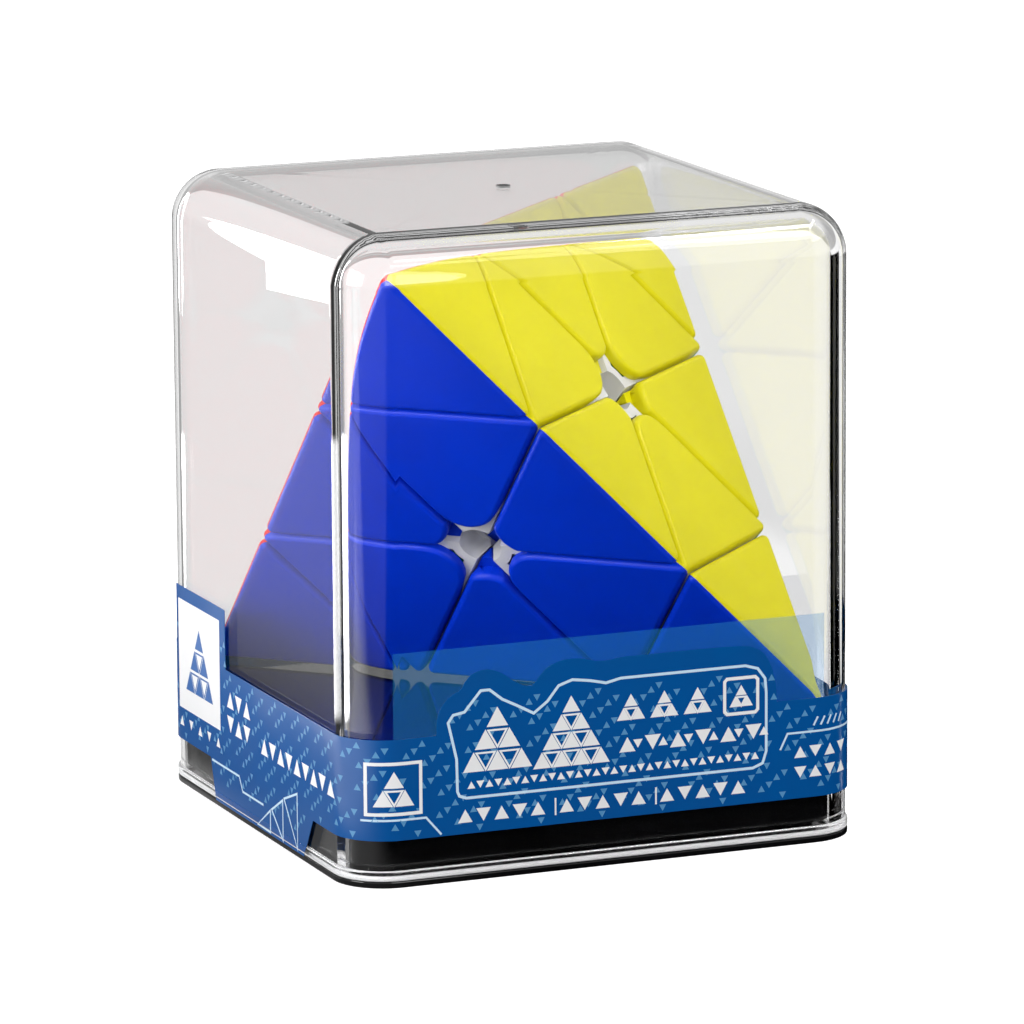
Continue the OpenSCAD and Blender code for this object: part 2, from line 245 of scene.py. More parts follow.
def film_mat():
    """Clear film with a faint blue tint."""
    m, nt, b = new_mat("clear_film")
    n = noise(nt, 40, 3.0, 0.5)
    nt.links.new(colour_vary(nt, ramp(nt, n.outputs["Fac"], 0, 1), (0.02, 0.22, 0.50), (0.02, 0.20, 0.46)), b.inputs["Base Color"])
    b.inputs["Roughness"].default_value = 0.12
    tr = nt.nodes.new("ShaderNodeBsdfTransparent")
    tr.inputs["Color"].default_value = (0.93, 0.97, 1.0, 1)
    mix = nt.nodes.new("ShaderNodeMixShader")
    mix.inputs["Fac"].default_value = 0.16
    nt.links.new(tr.outputs["BSDF"], mix.inputs[1])
    nt.links.new(b.outputs["BSDF"], mix.inputs[2])
    nt.links.new(mix.outputs["Shader"], nt.nodes["Material Output"].inputs["Surface"])
    return m


MAT["film"] = film_mat()


# ---------------------------------------------------------------- mesh helpers
def to_object(bm, name, mats, at=CEN, angle=32, weighted=True):
    me = bpy.data.meshes.new(name)
    bmesh.ops.transform(bm, matrix=Matrix.Scale(MM, 4) @ Matrix.Translation(at), verts=bm.verts)
    bmesh.ops.recalc_face_normals(bm, faces=bm.faces)
    for f in bm.faces:
        f.smooth = True
    bm.to_mesh(me)
    bm.free()
    me.set_sharp_from_angle(angle=math.radians(angle))
    o = bpy.data.objects.new(name, me)
    S.collection.objects.link(o)
    for m in (mats if isinstance(mats, (list, tuple)) else [mats]):
        me.materials.append(m)
    if weighted:
        w = o.modifiers.new("wn", "WEIGHTED_NORMAL")
        w.keep_sharp = True
        w.weight = 80
    return o


def vertices_of(planes):
    """Corners of the solid n.p <= d for every (n, d), each with the planes that meet there."""
    out = []
    k = len(planes)
    for a in range(k):
        na, da = planes[a]
        for b in range(a + 1, k):
            nb, db = planes[b]
            ab = na.cross(nb)
            if ab.length < 1e-6:
                continue
            for c in range(b + 1, k):
                nc, dc = planes[c]
                det = ab.dot(nc)
                if abs(det) < 1e-6:
                    continue
                p = (nb.cross(nc) * da + nc.cross(na) * db + ab * dc) / det
                if all(n.dot(p) <= d + 1e-4 for n, d in planes):
                    for q, s in out:
                        if (q - p).length < 1e-3:
                            s.update((a, b, c))
                            break
                    else:
                        out.append((p, {a, b, c}))
    return out


def slerp(a, b, t):
    w = a.angle(b)
    if w < 1e-5:
        return a.copy()
    return ((a * math.sin((1 - t) * w) + b * math.sin(t * w)) / math.sin(w)).normalized()


def rounded(planes, r, seg=4):
    """Convex solid with every edge rounded to radius r: the inset solid plus a ball."""
    planes = [(n.normalized(), d) for n, d in planes]
    inset = [(n, d - r) for n, d in planes]
    pts = []
    for p, s in vertices_of(inset):
        ns = [inset[i][0] for i in s]
        mid = sum(ns, Vector()).normalized()
        u = mid.orthogonal().normalized()
        v = mid.cross(u)
        ns.sort(key=lambda n: math.atan2(n.dot(v), n.dot(u)))
        for i, a in enumerate(ns):
            b = ns[(i + 1) % len(ns)]
            for j in range(seg):
                d = slerp(a, b, j / seg)
                pts.append(p + d * r)
                for q in (0.35, 0.7):
                    pts.append(p + slerp(mid, d, q) * r)
        pts.append(p + mid * r)
    bm = bmesh.new()
    for q in pts:
        bm.verts.new(q)
    bmesh.ops.remove_doubles(bm, verts=bm.verts, dist=2e-4)
    res = bmesh.ops.convex_hull(bm, input=bm.verts)
    junk = list({e for e in res["geom_interior"] + res["geom_unused"] if isinstance(e, bmesh.types.BMVert)})
    if junk:
        bmesh.ops.delete(bm, geom=junk, context="VERTS")
    bmesh.ops.dissolve_limit(bm, angle_limit=math.radians(0.4), verts=bm.verts, edges=bm.edges)
    return bm


def cut(bm, n, d, keep_below=True):
    """Cuts at the plane n.p = d and closes the hole."""
    n = n.normalized()
    res = bmesh.ops.bisect_plane(bm, geom=bm.verts[:] + bm.edges[:] + bm.faces[:], dist=1e-5,
                                 plane_co=n * d, plane_no=n, clear_outer=keep_below, clear_inner=not keep_below)
    edges = [e for e in bm.edges if e.is_boundary]
    if edges:
        bmesh.ops.holes_fill(bm, edges=edges, sides=0)
    bmesh.ops.triangulate(bm, faces=[f for f in bm.faces if len(f.verts) > 4 and not f.is_valid])
    return bm


def flat_dir(i, f):
    """Unit direction in face f that points from its middle at corner i."""
    return (AX[i] + AX[f] / 3).normalized()


def star_planes(f, d, steps=9):
    """Planes that round a 60-degree corner at the middle of face f, opening along d, to radius STAR."""
    n = -AX[f]
    side = n.cross(d).normalized()
    centre = d * (2 * STAR)
    out = []
    for k in range(steps):
        a = math.radians(-60 + 120 * (k + 0.5) / steps)
        m = (-d * math.cos(a) + side * math.sin(a)).normalized()
        out.append((m, m.dot(centre) + STAR))
    return out


def others(*idx):
    return [k for k in range(4) if k not in idx]


def visible(o, node, body):
    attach(o, body)
    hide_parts(node)


def body_of(node):
    return NODES[node]["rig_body"]


# ---------------------------------------------------------------- caps of the tips
for i in range(4):
    for f in others(i):
        a, b = others(i, f)
        planes = [(-AX[k], INR) for k in others(i)] + [(-AX[i], -(TIP + G)), (AX[i], CORNER - 2.5)]
        bm = rounded(planes, RND, 5)
        cut(bm, AX[f] - AX[a], 0)
        cut(bm, AX[f] - AX[b], 0)
        cut(bm, -AX[f], INR - CAP_T, keep_below=False)
        node = f"tip_{PLACE[i]}_{FACE_COL[f]}"
        o = to_object(bm, "look_" + node, MAT[FACE_COL[f]])
        visible(o, node, body_of(node))

# ---------------------------------------------------------------- caps of the corner pieces
for i in range(4):
    for f in others(i):
        a, b = others(i, f)
        planes = [(-AX[k], INR) for k in others(i)] + [(-AX[i], -(LAYER + G)), (AX[i], TIP - G)]
        planes += [(AX[k], LAYER - G) for k in others(i)]
        planes += star_planes(f, flat_dir(i, f))
        bm = rounded(planes, RND * 0.9, 4)
        cut(bm, AX[f] - AX[a], 0)
        cut(bm, AX[f] - AX[b], 0)
        cut(bm, -AX[f], INR - CAP_T, keep_below=False)
        node = f"axial_{PLACE[i]}_{FACE_COL[f]}"
        o = to_object(bm, "look_" + node, MAT[FACE_COL[f]])
        visible(o, node, body_of(node))

# ---------------------------------------------------------------- half-shells of the edge pieces
ORDER = ["blue", "red", "yellow", "green"]
PAIR = {frozenset(("blue", "yellow")): "blue_yellow", frozenset(("blue", "red")): "blue_red",
        frozenset(("red", "yellow")): "red_yellow", frozenset(("blue", "green")): "blue_green",
        frozenset(("yellow", "green")): "yellow_green", frozenset(("red", "green")): "red_green"}
for i in range(4):
    for j in range(i + 1, 4):
        fs = others(i, j)
        pair = PAIR[frozenset(FACE_COL[f] for f in fs)]
        for f in fs:
            h = fs[0] if fs[1] == f else fs[1]
            planes = [(-AX[f], INR), (-AX[h], INR), (-AX[i], -(LAYER + G)), (-AX[j], -(LAYER + G))]
            planes += star_planes(f, -flat_dir(h, f))
            bm = rounded(planes, RND, 5)
            cut(bm, AX[f] - AX[h], 0)
            cut(bm, -AX[f], INR - EDGE_T, keep_below=False)
            node = f"edge_{pair}_{FACE_COL[f]}_shell"
            # lower body and foot: the frame's own solid below the cap
            low = bmesh.new()
            low.from_mesh(NODES[node].data)
            bmesh.ops.transform(low, matrix=Matrix.Translation(-CEN) @ Matrix.Scale(1000, 4), verts=low.verts)
            bmesh.ops.remove_doubles(low, verts=low.verts, dist=2e-4)
            bmesh.ops.dissolve_limit(low, angle_limit=math.radians(0.3), verts=low.verts, edges=low.edges)
            cut(low, -AX[f], INR - EDGE_T + 0.02)
            tmp = bpy.data.meshes.new("tmp")
            low.to_mesh(tmp)
            low.free()
            bm.from_mesh(tmp)
            bpy.data.meshes.remove(tmp)
            o = to_object(bm, "look_" + node, MAT[FACE_COL[f]])
            visible(o, node, body_of(node))

# ---------------------------------------------------------------- carried-over frame nodes
for name, o in NODES.items():
    key = None
    if name.endswith("_carrier") or name == "core_ball":
        key = "white"
    elif name == "tension_screws":
        key = "screw"
    elif name in ("tension_springs", "spring_washers"):
        key = "spring"
    elif name.endswith("magnets"):
        key = "magnet"
    if key:
        o.data.materials.clear()
        o.data.materials.append(MAT[key])


# ---------------------------------------------------------------- rounded-square lofts
def ring(bm, half, r, z, seg=14):
    r = max(r, 0.001)
    vs = []
    for cx, cy, a0 in ((1, 1, 0), (-1, 1, 90), (-1, -1, 180), (1, -1, 270)):
        for k in range(seg + 1):
            a = math.radians(a0 + 90 * k / seg)
            vs.append(bm.verts.new((cx * (half - r) + r * math.cos(a), cy * (half - r) + r * math.sin(a), z)))
    return vs


def loft(bm, rings, close=False):
    for lo, hi in zip(rings, rings[1:] + ([rings[0]] if close else [])):
        n = len(lo)
        for k in range(n):
            bm.faces.new((lo[k], lo[(k + 1) % n], hi[(k + 1) % n], hi[k]))


def fillet(half, r, z, rf, outward, steps=6, top=True):
    """Rings of a quarter-round fillet, from the wall to the flat."""
    out = []
    for k in range(steps + 1):
        a = math.radians(90 * k / steps)
        dx = rf * (1 - math.cos(a))
        dz = rf * (1 - math.sin(a))
        out.append((half - dx * outward, r - dx * outward, z - dz if top else z + dz))
    return out


# ---------------------------------------------------------------- clear cover
def build_cover():
    bm = bmesh.new()
    rim0, rim1 = 1.0, 2.6
    rings = []
    add = lambda h, r, z: rings.append(ring(bm, h, r, z, 18))
    # inner bottom edge, rim's underside, rim's bead, outer wall, top, inner top, inner wall
    ri = CASE_R - WALL
    add(W2 - WALL, ri, rim0 + 0.25)
    add(W2 - WALL + 0.25, ri + 0.25, rim0 + 0.02)
    add(W2 + 0.0, CASE_R, rim0 + 0.02)
    add(W2 + 0.20, CASE_R + 0.20, rim0 + 0.05)
    add(W2 + 0.30, CASE_R + 0.30, rim0 + 0.15)
    add(W2 + 0.36, CASE_R + 0.36, rim0 + 0.35)
    for k in range(6):
        a = math.radians(18 * k)
        add(W2 + 0.06 + 0.30 * math.cos(a), CASE_R + 0.06 + 0.30 * math.cos(a), rim1 - 0.38 + 0.36 * math.sin(a))
    add(W2, CASE_R, rim1 + 0.06)
    for h, r, z in fillet(W2, CASE_R, CASE_H, CASE_R, 1, 14)[0:-1]:
        add(h, r, z)
    add(W2 - CASE_R - 0.02, 0.02, CASE_H)
    outer_top = rings[-1]
    inner = []
    addi = lambda h, r, z: inner.append(ring(bm, h, r, z, 18))
    addi(W2 - CASE_R - 0.02, 0.02, CASE_H - WALL)
    for h, r, z in reversed(fillet(W2 - WALL, ri, CASE_H - WALL, ri, 1, 12)[0:-1]):
        addi(h, r, z)
    loft(bm, rings)
    loft(bm, inner + [rings[0]])
    # flat top with a round vent
    hole_r = 1.17
    n = len(outer_top)
    def hub(vs, z):
        out = []
        for v in vs:
            a = math.atan2(v.co.y, v.co.x)
            out.append(bm.verts.new((hole_r * math.cos(a), hole_r * math.sin(a), z)))
        for k in range(n):
            bm.faces.new((vs[k], vs[(k + 1) % n], out[(k + 1) % n], out[k]))
        return out
    h1 = hub(outer_top, CASE_H)
    h2 = hub(inner[0], CASE_H - WALL)
    for k in range(n):
        bm.faces.new((h1[k], h1[(k + 1) % n], h2[(k + 1) % n], h2[k]))
    bmesh.ops.remove_doubles(bm, verts=bm.verts, dist=1e-4)
    bmesh.ops.dissolve_degenerate(bm, dist=1e-4, edges=bm.edges)
    o = to_object(bm, "look_clear_cover", MAT["clear"], at=Vector((0, 0, 0)), angle=40)
    visible(o, "clear_cover", "cover")
    return o


build_cover()


def build_vent_plug():
    """Near-black disc that closes the vent: painted shade standing in for the dark of the hole."""
    bm = bmesh.new()
    prof = [(0.0, CASE_H - 0.7), (1.12, CASE_H - 0.7), (1.12, CASE_H - 0.03), (1.05, CASE_H - 0.006), (0.8, CASE_H - 0.02), (0.3, CASE_H - 0.08), (0.0, CASE_H - 0.1)]
    seg = 28
    prev = None
    rings = []
    for r, z in prof:
        if r == 0:
            rings.append([bm.verts.new((0, 0, z))])
        else:
            rings.append([bm.verts.new((r * math.cos(2 * math.pi * k / seg), r * math.sin(2 * math.pi * k / seg), z)) for k in range(seg)])
    for lo, hi in zip(rings, rings[1:]):
        for k in range(seg):
            a, b = lo[k % len(lo)], lo[(k + 1) % len(lo)]
            c, d = hi[(k + 1) % len(hi)], hi[k % len(hi)]
            vs = []
            for v in (a, b, c, d):
                if v not in vs:
                    vs.append(v)
            if len(vs) > 2:
                bm.faces.new(vs)
    o = to_object(bm, "painted_vent_shade", MAT["mark"], at=Vector((0, 0, 0)))
    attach(o, "cover")


build_vent_plug()


# ---------------------------------------------------------------- plinth
def build_base():
    bm = bmesh.new()
    inn, rin = W2 - WALL - 0.25, CASE_R - WALL - 0.25
    fo = W2 + 0.36
    fr = CASE_R + 0.36
    spec = []
    cav = inn - 4.3
    spec += [(cav, 1.2, BASE_TOP - 1.8), (cav, 1.2, 0.25), (cav + 0.25, 1.45, 0.0)]
    spec += [(fo - 0.25, fr - 0.25, 0.0), (fo - 0.07, fr - 0.07, 0.07), (fo, fr, 0.25), (fo, fr, 0.75), (fo - 0.07, fr - 0.07, 0.93), (fo - 0.25, fr - 0.25, 0.99)]
    spec += [(inn - 2.5, rin - 2.5, 0.99), (inn - 2.5, rin - 2.5, 2.5), (inn - 0.2, rin - 0.2, 2.6), (inn, rin, 2.8)]
    spec += fillet(inn, rin, BASE_TOP, 0.5, 1, 5)
    rings = [ring(bm, h, r, z, 12) for h, r, z in spec]
    loft(bm, rings)
    bm.faces.new(rings[0])
    bm.faces.new(rings[-1])
    # saddle under the lowest ridge
    sad = rounded([(Vector((1, -1, 0)), 4.0), (Vector((-1, 1, 0)), 4.0), (Vector((1, 1, 0)), 1.6), (Vector((-1, -1, 0)), 1.6),
                   (Vector((0, 0, 1)), 0.65), (Vector((0, 0, -1)), 0.6)], 0.2, 3)
    bmesh.ops.transform(sad, matrix=Matrix.Translation((CEN.x, CEN.y, BASE_TOP)), verts=sad.verts)
    tmp = bpy.data.meshes.new("tmp")
    sad.to_mesh(tmp)
    sad.free()
    bm.from_mesh(tmp)
    bpy.data.meshes.remove(tmp)
    o = to_object(bm, "look_display_base", MAT["black"], at=Vector((0, 0, 0)), angle=35)
    visible(o, "display_base", "case_base")


build_base()

# ---------------------------------------------------------------- printed film
FLAT = W2 - CASE_R
ARC = CASE_R * math.pi / 2
SIDE = 2 * FLAT


def wrap(u, z, off):
    """Point on the case's walls: u runs anticlockwise from the middle of the front, off is the distance out of the wall."""
    per = 4 * (SIDE + ARC)
    u = (u + per / 2) % per - per / 2
    s = u + FLAT
    q = math.floor(s / (SIDE + ARC))
    s -= q * (SIDE + ARC)
    if s <= SIDE:
        p = Vector((s - FLAT, -W2 - off, 0))
    else:
        a = (s - SIDE) / CASE_R
        r = CASE_R + off
        p = Vector((FLAT + r * math.sin(a), -FLAT - r * math.cos(a), 0))
    p = Matrix.Rotation(math.pi / 2 * q, 3, "Z") @ p
    p.z = z
    return p


LEFT0 = -(SIDE + ARC)   # u of the middle of the left wall, whose u grows towards the front


def left_u(y):
    return LEFT0 - y


OFF0, OFF1 = 0.26, 0.34
LOW, HIGH, FILM_TOP = 7.2, 22.4, 35.3
HUMP = [(-27.9, 22.4), (-28.0, 24.4), (-27.4, 26.4), (-26.0, 28.0), (-24.2, 29.0), (-23.4, 30.2), (-22.1, 31.3), (-19.9, 31.7),
        (-17.6, 30.9), (-15.8, 29.6), (-14.0, 28.7), (-12.6, 28.8), (-11.6, 29.9), (-10.2, 31.2), (-7.8, 32.0), (-5.2, 32.0),
        (-2.7, 31.4), (-0.6, 31.3), (1.8, 31.6), (5.3, 31.6), (10.2, 31.6), (15.4, 31.6), (20.1, 31.5), (22.6, 31.2),
        (24.4, 30.2), (25.4, 28.8), (26.1, 27.1), (26.6, 24.8), (26.7, 22.4)]


def smooth_line(pts, per=4):
    out = []
    n = len(pts)
    for k in range(n - 1):
        p0 = Vector(pts[max(k - 1, 0)]); p1 = Vector(pts[k]); p2 = Vector(pts[k + 1]); p3 = Vector(pts[min(k + 2, n - 1)])
        for j in range(per):
            t = j / per
            out.append(0.5 * ((2 * p1) + (-p0 + p2) * t + (2 * p0 - 5 * p1 + 4 * p2 - p3) * t * t + (-p0 + 3 * p1 - 3 * p2 + p3) * t ** 3))
    out.append(Vector(pts[-1]))
    return out


HUMP_S = smooth_line(HUMP, 4)


def line_at(pts, u):
    """Height of the polyline at u, or None outside it."""
    best = None
    for p, q in zip(pts, pts[1:]):
        lo, hi = (p, q) if p[0] <= q[0] else (q, p)
        if lo[0] <= u <= hi[0] and hi[0] - lo[0] > 1e-9:
            z = lo[1] + (hi[1] - lo[1]) * (u - lo[0]) / (hi[0] - lo[0])
            best = z if best is None else max(best, z)
    return best


TAB = [(left_u(19.6), 7.2), (left_u(17.3), 0.35), (left_u(-20.5), 0.35), (left_u(-24.8), 7.2)]
PANEL = (left_u(34.6), left_u(12.5), 31.7)


def film_strip(name, us, low, high, mat, body="cover"):
    """Thin closed sheet round the wall between low(u) and high(u)."""
    bm = bmesh.new()
    cols = []
    for u in us:
        lo, hi = low(u), high(u)
        cols.append([bm.verts.new(wrap(u, z, off)) for off, z in ((OFF0, lo), (OFF0, hi), (OFF1, hi), (OFF1, lo))])
    closed = abs((us[-1] - us[0]) - 4 * (SIDE + ARC)) < 1e-3
    if closed:
        for v in cols[-1]:
            bm.verts.remove(v)
        cols[-1] = cols[0]
    for a, b in zip(cols, cols[1:]):
        for k in range(4):
            bm.faces.new((a[k], b[k], b[(k + 1) % 4], a[(k + 1) % 4]))
    if not closed:
        bm.faces.new(cols[0])
        bm.faces.new(cols[-1])
    return bm


def add_bm(dst, src):
    tmp = bpy.data.meshes.new("tmp")
    src.to_mesh(tmp)
    src.free()
    dst.from_mesh(tmp)
    bpy.data.meshes.remove(tmp)


def stops(a, b, extra=(), step=4.0):
    """Places along the wall: the ends, the extra ones, and enough on the round corners."""
    out = {round(a, 5), round(b, 5)} | {round(e, 5) for e in extra if a <= e <= b}
    q = math.floor((a + FLAT) / (SIDE + ARC)) - 1
    while q * (SIDE + ARC) - FLAT < b:
        s0 = q * (SIDE + ARC) - FLAT + SIDE
        for k in range(13):
            u = s0 + ARC * k / 12
            if a <= u <= b:
                out.add(round(u, 5))
        q += 1
    pts = sorted(out)
    full = [pts[0]]
    for p in pts[1:]:
        n = max(1, int((p - full[-1]) / step))
        prev = full[-1]
        for k in range(1, n + 1):
            full.append(prev + (p - prev) * k / n)
    return full


def sleeve_top(u):
    z = line_at(HUMP_S, u)
    if z is not None and z > HIGH:
        return z
    if PANEL[0] < u < PANEL[1]:
        return PANEL[2]
    return HIGH


def sleeve_low(u):
    if TAB[0][0] < u < TAB[3][0]:
        if u < TAB[1][0]:
            t = (u - TAB[0][0]) / (TAB[1][0] - TAB[0][0])
            return 7.2 - t * 6.85
        if u > TAB[2][0]:
            t = (TAB[3][0] - u) / (TAB[3][0] - TAB[2][0])
            return 7.2 - t * 6.85
        return 0.35
    return LOW


PER = 4 * (SIDE + ARC)
U0 = -PER / 2
hump_u = [p[0] for p in HUMP_S]
marks = sorted(set([round(x, 4) for x in hump_u] + [t[0] for t in TAB] + [PANEL[0] - 0.001, PANEL[0] + 0.001, PANEL[1] - 0.001, PANEL[1] + 0.001]))
band = film_strip("band", stops(U0, U0 + PER, marks), sleeve_low, sleeve_top, None)
sleeve = to_object(band, "look_printed_sleeve", MAT["print_blue"], at=Vector((0, 0, 0)), angle=35, weighted=False)
visible(sleeve, "printed_sleeve", "cover")


def film_low(u):
    return max(sleeve_top(u), HIGH) + 0.02


clear = film_strip("film", stops(-34.7, 34.5, hump_u), film_low, lambda u: FILM_TOP, None)
film = to_object(clear, "look_clear_film", MAT["film"], at=Vector((0, 0, 0)), angle=35, weighted=False)
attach(film, "cover")


# printed decoration: thin raised ink, all generic shapes
INK0, INK1 = OFF1 - 0.01, OFF1 + 0.03
SHAPES = {"print_white": [], "print_line": [], "print_pale": [], "print_over": []}


def poly(kind, pts):
    SHAPES[kind].append([Vector(p) for p in pts])


def stroke(kind, pts, w, closed=False):
    """Line of width w along the points, one quad for each stretch with mitred joints."""
    pts = [Vector(p) for p in pts]
    n = len(pts)
    lefts, rights = [], []
    for k in range(n):
        if closed:
            p, q, r = pts[k - 1], pts[k], pts[(k + 1) % n]
        else:
            p, q, r = pts[max(k - 1, 0)], pts[k], pts[min(k + 1, n - 1)]
        d1 = (q - p).normalized() if (q - p).length > 1e-9 else (r - q).normalized()
        d2 = (r - q).normalized() if (r - q).length > 1e-9 else d1
        n1 = Vector((-d1.y, d1.x)); n2 = Vector((-d2.y, d2.x))
        m = n1 + n2
        m = m / max(m.dot(n1), 0.4) if m.length > 1e-6 else n1
        lefts.append(q + m * (w / 2)); rights.append(q - m * (w / 2))
    for k in range(n if closed else n - 1):
        j = (k + 1) % n
        poly(kind, [rights[k], rights[j], lefts[j], lefts[k]])


def tri(kind, cx, cz, s, up=True, line=None):
    h = s * math.sqrt(3) / 2
    sg = 1 if up else -1
    pts = [(cx - s / 2, cz - sg * h / 2), (cx + s / 2, cz - sg * h / 2), (cx, cz + sg * h / 2)]
    if not up:
        pts = [pts[1], pts[0], pts[2]]
    if line:
        stroke(kind, pts, line, closed=True)
    else:
        poly(kind, pts)


def pyramid_icon(cx, cz, s, kind="print_white", gap=0.1, rows=3):
    """A big triangle of rows of small triangles."""
    h = s * math.sqrt(3) / 2
    e = s / rows
    eh = h / rows
    for r in range(rows):
        z0 = cz + h / 2 - (r + 1) * eh
        for k in range(r + 1):
            x = cx - r * e / 2 + k * e
            t = e * (1 - gap)
            tri(kind, x, z0 + eh / 2, t, True)
            if k < r:
                tri(kind, x + e / 2, z0 + eh / 2, t * 0.86, False, line=0.28)


def inside(pts, x, y):
    c = False
    n = len(pts)
    for k in range(n):
        x1, y1 = pts[k]; x2, y2 = pts[(k + 1) % n]
        if (y1 > y) != (y2 > y) and x < (x2 - x1) * (y - y1) / (y2 - y1) + x1:
            c = not c
    return c


# outlined plate at the front
FR = [(-24.8, 13.7), (-24.9, 18.6), (-26.2, 24.2), (-25.4, 25.3), (-23.6, 25.6), (-22.4, 27.0), (-21.0, 28.6), (-19.6, 28.6), (-17.6, 27.0),
      (-15.2, 25.8), (-12.6, 24.4), (-10.4, 26.0), (-8.6, 28.2), (-6.4, 28.9), (-3.6, 28.5), (-1.0, 27.9), (1.4, 28.4), (12.0, 28.4), (21.6, 28.4),
      (23.6, 27.8), (24.8, 26.2), (25.0, 24.0), (25.0, 19.0), (25.0, 15.0), (24.4, 13.2), (22.8, 12.6), (0.0, 12.6), (-23.4, 12.6), (-24.5, 13.0)]
stroke("print_line", FR, 0.42, closed=True)
pyramid_icon(-18.4, 21.2, 11.4, rows=3)
pyramid_icon(-6.6, 21.2, 12.6, rows=4)
for k in range(3):
    pyramid_icon(3.0 + 5.4 * k, 23.9, 4.8, rows=2)
FRBOX = [(18.2, 21.6), (18.2, 26.2), (18.6, 26.6), (23.2, 26.6), (23.6, 26.2), (23.6, 21.6), (23.2, 21.2), (18.6, 21.2)]
stroke("print_white", FRBOX, 0.5, closed=True)
pyramid_icon(20.9, 23.9, 4.0, rows=2)
for k in range(6):
    x = 2.4 + 4.1 * k
    tri("print_white", x, 18.2, 2.6, k % 2 == 0)
    tri("print_white", x + 1.7, 18.2, 1.5, k % 2 == 1)
for k in range(33):
    x = -22.6 + 1.43 * k
    tri("print_white", x, 14.5, 1.25, k % 2 == 0)
# three groups under the plate
for g0, cnt in ((-23.6, 5), (-7.4, 5), (8.8, 5)):
    for k in range(cnt):
        tri("print_white", g0 + 2.9 * k, 9.9, 2.3, k % 2 == 0)
for x in (-9.2, 7.0):
    stroke("print_white", [(x, 8.6), (x, 11.2)], 0.26)
# square badge at the left end, cut-corner lines
stroke("print_white", [(-38.8, 11.2), (-38.8, 18.8), (-30.6, 18.8), (-30.6, 11.2)], 0.5, closed=True)
pyramid_icon(-34.7, 15.0, 6.4, rows=2)
stroke("print_line", [(-39.6, 10.3), (-29.8, 10.3), (-27.4, 7.5)], 0.32)
stroke("print_line", [(27.3, 14.9), (28.5, 17.3), (37.6, 17.3), (41.0, 17.3)], 0.32)
for k in range(5):
    x = 32.8 + 1.15 * k
    stroke("print_line", [(x, 18.2), (x + 0.7, 19.5)], 0.3)
for k in range(4):
    x = 30.6 + 2.5 * k
    tri("print_white", x, 14.3, 2.0, k % 2 == 0)
    tri("print_white", x, 11.2, 2.0, k % 2 == 1)
# left wall: plain framed panel with an icon in place of the code, bars, line art
L = left_u
poly("print_white", [(L(33.4), 12.3), (L(15.0), 12.3), (L(15.0), 29.6), (L(33.4), 29.6)])
pyramid_icon(L(24.2), 20.9, 12.5, "print_over", rows=3)
for k in range(5):
    tri("print_white", L(32.4 - 4.1 * k), 10.2, 1.7, k % 2 == 0)
for k in range(3):
    tri("print_white", L(10.4 - 3.6 * k), 18.0, 2.9, k % 2 == 0)
    tri("print_white", L(10.4 - 3.6 * k), 14.2, 2.9, k % 2 == 1)
for k in range(9):
    tri("print_white", L(-4.4 - 3.5 * k), 13.9, 2.9, k % 2 == 0)
stroke("print_line", [(L(19.0), 6.9), (L(6.9), 6.9), (L(5.4), 4.8), (L(-3.6), 4.8)], 0.34)
for a, b, c in (((-1.0, 1.2), (-6.6, 4.6), (-6.6, 1.2)), ((-7.2, 4.9), (-12.0, 1.2), (-12.0, 7.4)), ((-12.6, 7.8), (-18.2, 1.2), (-18.2, 9.8))):
    stroke("print_line", [(L(a[0]), a[1]), (L(b[0]), b[1]), (L(c[0]), c[1])], 0.34, closed=True)
# right and back walls: the same icons, spaced out
for base_u in (SIDE + ARC, 2 * (SIDE + ARC)):
    for k in range(-3, 4):
        pyramid_icon(base_u + 9.0 * k, 15.0, 6.4, rows=2 if k % 2 else 3)
    stroke("print_line", [(base_u - 31, 9.6), (base_u + 31, 9.6)], 0.3)
    stroke("print_line", [(base_u - 31, 20.4), (base_u + 31, 20.4)], 0.3)

# background pattern: slanting rows of small open triangles in a paler blue
rng = random.Random(7)
slope = math.radians(33)
d = Vector((math.cos(slope), math.sin(slope)))
u = U0
row = 0
while u < U0 + PER + 20:
    s = 0.0 if row % 2 else -2.4
    while s < 40:
        p0 = Vector((u, LOW - 1.5)) + d * s
        for k in range(4):
            q = p0 + d * (1.5 * k)
            zt = sleeve_top(((q.x + PER / 2) % PER) - PER / 2) - 0.8
            zl = sleeve_low(((q.x + PER / 2) % PER) - PER / 2) + 0.8
            if zl < q.y < zt and U0 < q.x < U0 + PER:
                r = 0.66
                pts = []
                for a in ((-90, 30, 150) if k % 2 else (90, 210, 330)):
                    an = math.radians(a)
                    pts.append((q.x + r * math.cos(an), q.y + r * math.sin(an)))
                poly("print_pale", pts)
        s += 8.6
    u += 4.9
    row += 1


